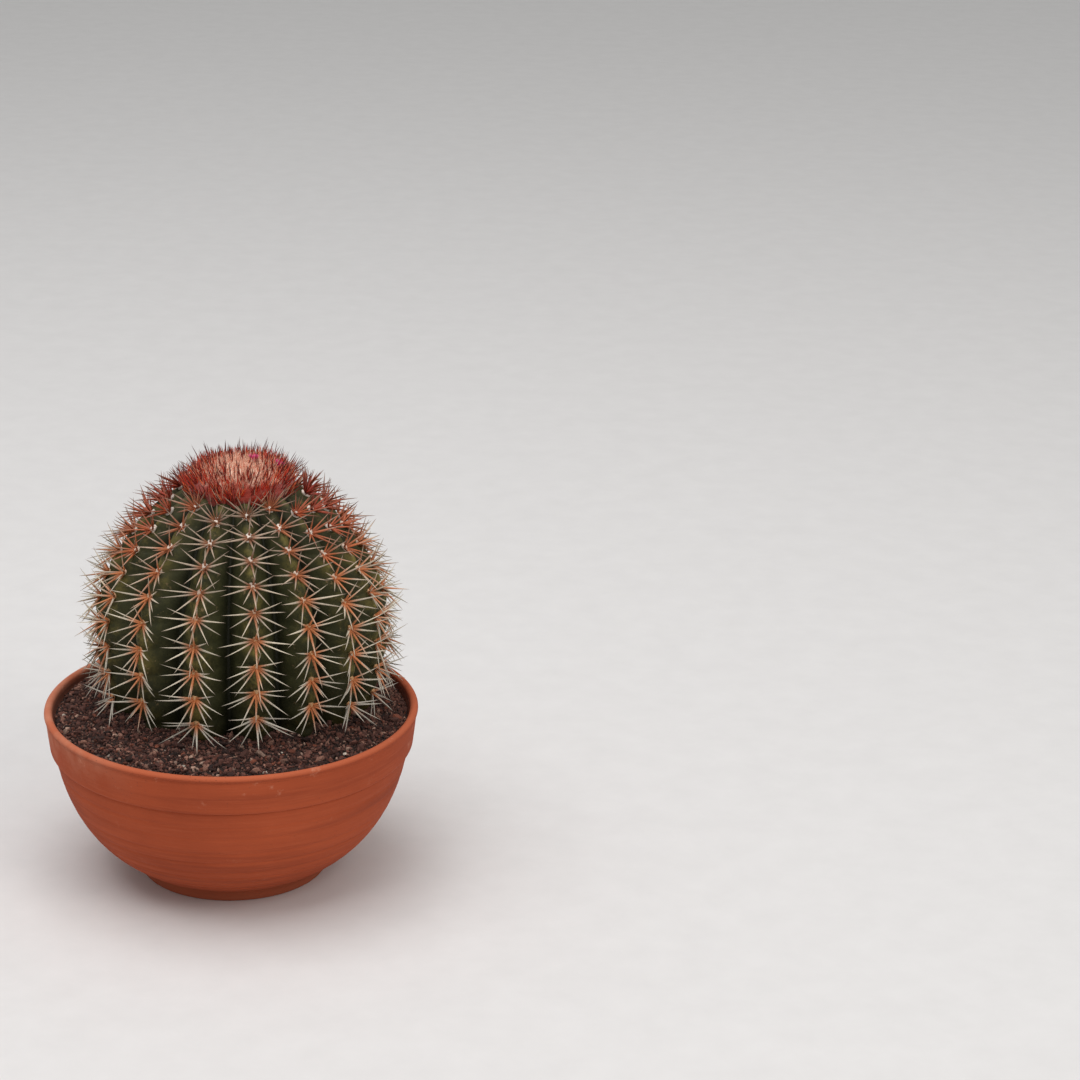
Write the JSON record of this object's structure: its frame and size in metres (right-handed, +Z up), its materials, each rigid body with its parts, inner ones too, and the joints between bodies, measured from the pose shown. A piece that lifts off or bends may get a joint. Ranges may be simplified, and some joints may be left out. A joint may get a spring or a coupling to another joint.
{
  "type": "potted round cactus",
  "caption": "Round ribbed cactus with a woolly red-bristled cap and spine clusters down every rib, in gritty soil in a shallow round terracotta bowl.",
  "frame": {"origin": "centre of the bowl's foot, on the surface it stands on", "axes": "+Z up along the bowl's axis; -Y faces the side from which the plant is seen, with +X to the right"},
  "size_m": [0.21, 0.21, 0.2411],
  "materials": {
    "terracotta": "matte unglazed fired clay with faint turning grooves and chalky scuffs",
    "grit_soil": "dry dark purplish-brown lava and pumice grit with pale grains",
    "cactus_skin": "dull waxy dark olive skin with yellow-green patches and small scars",
    "cap_wool": "cream wool set thick with fine red bristles",
    "spines": "smooth ivory to grey spines, rust red at their base",
    "petals": "soft magenta petals"
  },
  "bodies": {
    "root": {"pot": "terracotta", "soil": "grit_soil", "cactus_stem": "cactus_skin", "cephalium": "cap_wool", "rib_spines_01": "spines", "rib_spines_02": "spines", "rib_spines_03": "spines", "rib_spines_04": "spines", "rib_spines_05": "spines", "rib_spines_06": "spines", "rib_spines_07": "spines", "rib_spines_08": "spines", "rib_spines_09": "spines", "rib_spines_10": "spines", "rib_spines_11": "spines", "rib_spines_12": "spines", "rib_spines_13": "spines", "rib_spines_14": "spines", "rib_spines_15": "spines", "rib_spines_16": "spines", "flower_1": "petals", "flower_2": "petals"}
  },
  "joints": []
}
